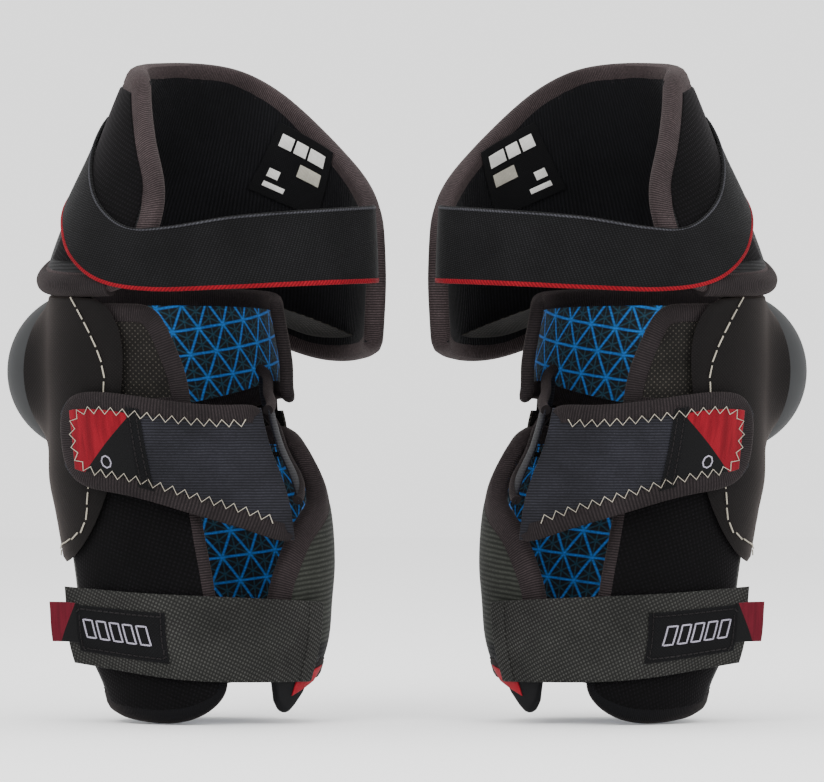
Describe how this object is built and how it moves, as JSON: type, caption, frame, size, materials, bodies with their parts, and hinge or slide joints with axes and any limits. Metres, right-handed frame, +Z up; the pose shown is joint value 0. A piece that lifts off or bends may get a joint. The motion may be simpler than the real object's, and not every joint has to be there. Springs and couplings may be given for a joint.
{
  "type": "ice hockey elbow pads",
  "caption": "Pair of strap-on ice hockey elbow pads with a cuffed upper guard, a domed elbow cap on a padded sleeve, and a forearm guard, shown from the crook side.",
  "frame": {"origin": "midway between the two pads, at the height of the elbow axes", "axes": "+X from the left pad to the right pad as seen from the crook side, +Y towards the elbow caps, +Z up the arm"},
  "size_m": [0.46, 0.152, 0.3838],
  "materials": {
    "black_liner": "black brushed knit",
    "printed_liner": "black knit with a bright blue star print",
    "foam": "matte EVA foam",
    "moulded_plastic": "matte polyethylene insert",
    "outer_fabric": "black ribbed polyester",
    "ribbed_fabric": "dark grey-green ribbed mesh",
    "stretch_fabric": "black stretch fabric with a soft sheen",
    "spacer_mesh": "black spacer mesh",
    "edge_binding": "warm dark grey knitted tape",
    "loop_velour": "black loop velour",
    "hook_tape": "black hook tape",
    "elastic_webbing": "black woven elastic",
    "strap_webbing": "dark grey woven webbing",
    "printed_patch": "printed fabric patch",
    "pull_tab": "dark red folded tab",
    "woven_label": "black woven label with plain light marks",
    "cap_plastic": "moulded dark grey plastic",
    "accent_plastic": "black moulded flap with a red edge"
  },
  "bodies": {
    "left_bicep": {"left_bicep_liner": "black_liner", "left_bicep_foam": "foam", "left_bicep_insert": "moulded_plastic", "left_bicep_cover": "outer_fabric", "left_bicep_binding": "edge_binding", "left_bicep_loop_patch": "loop_velour", "left_bicep_label": "woven_label"},
    "left_bicep_strap": {"left_bicep_strap_band": "elastic_webbing", "left_bicep_strap_hook": "hook_tape"},
    "left_elbow": {"left_elbow_cap": "cap_plastic", "left_cap_foam": "foam", "left_cap_cover": "stretch_fabric", "left_sleeve_mesh": "spacer_mesh", "left_sleeve_liner": "printed_liner", "left_sleeve_binding": "edge_binding"},
    "left_forearm": {"left_forearm_liner": "printed_liner", "left_forearm_foam": "foam", "left_forearm_shell": "moulded_plastic", "left_forearm_cover": "ribbed_fabric", "left_forearm_binding": "edge_binding", "left_forearm_loop_panel": "loop_velour", "left_forearm_end_guard": "accent_plastic", "left_elbow_strap_anchor": "elastic_webbing"},
    "left_elbow_strap": {"left_elbow_strap_band": "elastic_webbing", "left_elbow_strap_tab": "printed_patch", "left_elbow_strap_hook": "hook_tape"},
    "left_forearm_strap": {"left_forearm_strap_webbing": "strap_webbing", "left_forearm_strap_patch": "printed_patch", "left_forearm_strap_pull": "pull_tab", "left_forearm_strap_hook": "hook_tape"},
    "right_bicep": {"right_bicep_liner": "black_liner", "right_bicep_foam": "foam", "right_bicep_insert": "moulded_plastic", "right_bicep_cover": "outer_fabric", "right_bicep_binding": "edge_binding", "right_bicep_loop_patch": "loop_velour", "right_bicep_label": "woven_label"},
    "right_bicep_strap": {"right_bicep_strap_band": "elastic_webbing", "right_bicep_strap_hook": "hook_tape"},
    "right_elbow": {"right_elbow_cap": "cap_plastic", "right_cap_foam": "foam", "right_cap_cover": "stretch_fabric", "right_sleeve_mesh": "spacer_mesh", "right_sleeve_liner": "printed_liner", "right_sleeve_binding": "edge_binding"},
    "right_forearm": {"right_forearm_liner": "printed_liner", "right_forearm_foam": "foam", "right_forearm_shell": "moulded_plastic", "right_forearm_cover": "ribbed_fabric", "right_forearm_binding": "edge_binding", "right_forearm_loop_panel": "loop_velour", "right_forearm_end_guard": "accent_plastic", "right_elbow_strap_anchor": "elastic_webbing"},
    "right_elbow_strap": {"right_elbow_strap_band": "elastic_webbing", "right_elbow_strap_tab": "printed_patch", "right_elbow_strap_hook": "hook_tape"},
    "right_forearm_strap": {"right_forearm_strap_webbing": "strap_webbing", "right_forearm_strap_patch": "printed_patch", "right_forearm_strap_pull": "pull_tab", "right_forearm_strap_hook": "hook_tape"}
  },
  "joints": [
    {"name": "left_bicep_flex", "type": "hinge", "parent": "left_elbow", "child": "left_bicep", "pos_m": [-0.12593, -0.00973, 0], "axis": [0.6947, 0.7193, 0], "range_deg": [0, 20]},
    {"name": "left_forearm_flex", "type": "hinge", "parent": "left_elbow", "child": "left_forearm", "pos_m": [-0.12593, -0.00973, 0], "axis": [-0.6947, -0.7193, 0], "range_deg": [0, 3]},
    {"name": "left_bicep_strap_open", "type": "hinge", "parent": "left_bicep", "child": "left_bicep_strap", "pos_m": [-0.019, -0.014, 0.065], "axis": [0, 0, 1], "range_deg": [0, 50]},
    {"name": "left_elbow_strap_open", "type": "hinge", "parent": "left_forearm", "child": "left_elbow_strap", "pos_m": [-0.063, -0.044, -0.065], "axis": [0, 0, 1], "range_deg": [0, 60]},
    {"name": "left_forearm_strap_open", "type": "hinge", "parent": "left_forearm", "child": "left_forearm_strap", "pos_m": [-0.052, -0.024, -0.163], "axis": [0, 0, 1], "range_deg": [0, 80]},
    {"name": "right_bicep_flex", "type": "hinge", "parent": "right_elbow", "child": "right_bicep", "pos_m": [0.12593, -0.00973, 0], "axis": [0.6947, -0.7193, 0], "range_deg": [0, 20]},
    {"name": "right_forearm_flex", "type": "hinge", "parent": "right_elbow", "child": "right_forearm", "pos_m": [0.12593, -0.00973, 0], "axis": [-0.6947, 0.7193, 0], "range_deg": [0, 3]},
    {"name": "right_bicep_strap_open", "type": "hinge", "parent": "right_bicep", "child": "right_bicep_strap", "pos_m": [0.019, -0.014, 0.065], "axis": [0, 0, -1], "range_deg": [0, 50]},
    {"name": "right_elbow_strap_open", "type": "hinge", "parent": "right_forearm", "child": "right_elbow_strap", "pos_m": [0.063, -0.044, -0.065], "axis": [0, 0, -1], "range_deg": [0, 60]},
    {"name": "right_forearm_strap_open", "type": "hinge", "parent": "right_forearm", "child": "right_forearm_strap", "pos_m": [0.052, -0.024, -0.163], "axis": [0, 0, -1], "range_deg": [0, 80]},
    {"name": "pads_apart", "type": "slide", "parent": "left_elbow", "child": "right_elbow", "axis": [1, 0, 0], "range_m": [0, 0.2]}
  ]
}
